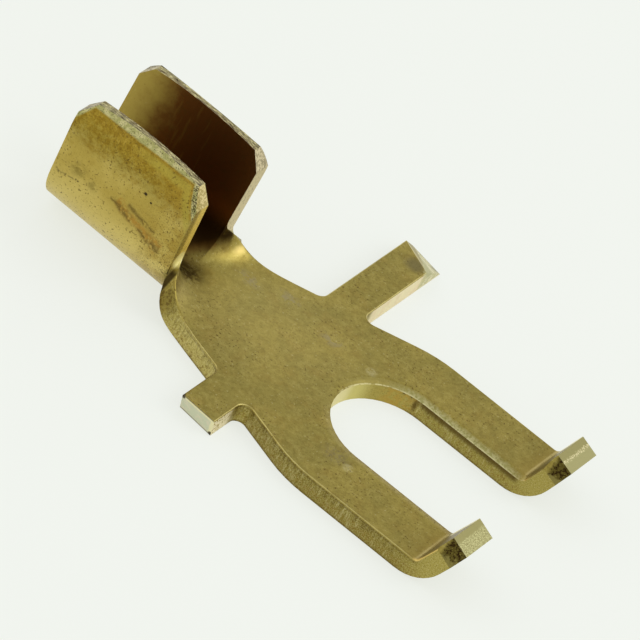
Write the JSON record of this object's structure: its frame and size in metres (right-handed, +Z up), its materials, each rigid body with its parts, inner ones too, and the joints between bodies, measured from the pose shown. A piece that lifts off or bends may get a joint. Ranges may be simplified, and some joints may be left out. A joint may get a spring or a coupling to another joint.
{
  "type": "spade terminal",
  "caption": "Uninsulated brass spade terminal with turned-up fork tips, a cross arm and an open U wire barrel.",
  "frame": {"origin": "on the sheet's underside, at the centre of the slot's round end", "axes": "+X along the fork towards its tips, +Z up from the sheet on the side where the tips and barrel wings rise, +Y along the longer arm of the cross"},
  "size_m": [0.0205, 0.0154, 0.0056],
  "materials": {
    "brass": "bare rolled sheet, slightly tarnished and stained, bright where sheared or coined"
  },
  "bodies": {
    "root": {"terminal": "brass"}
  },
  "joints": []
}
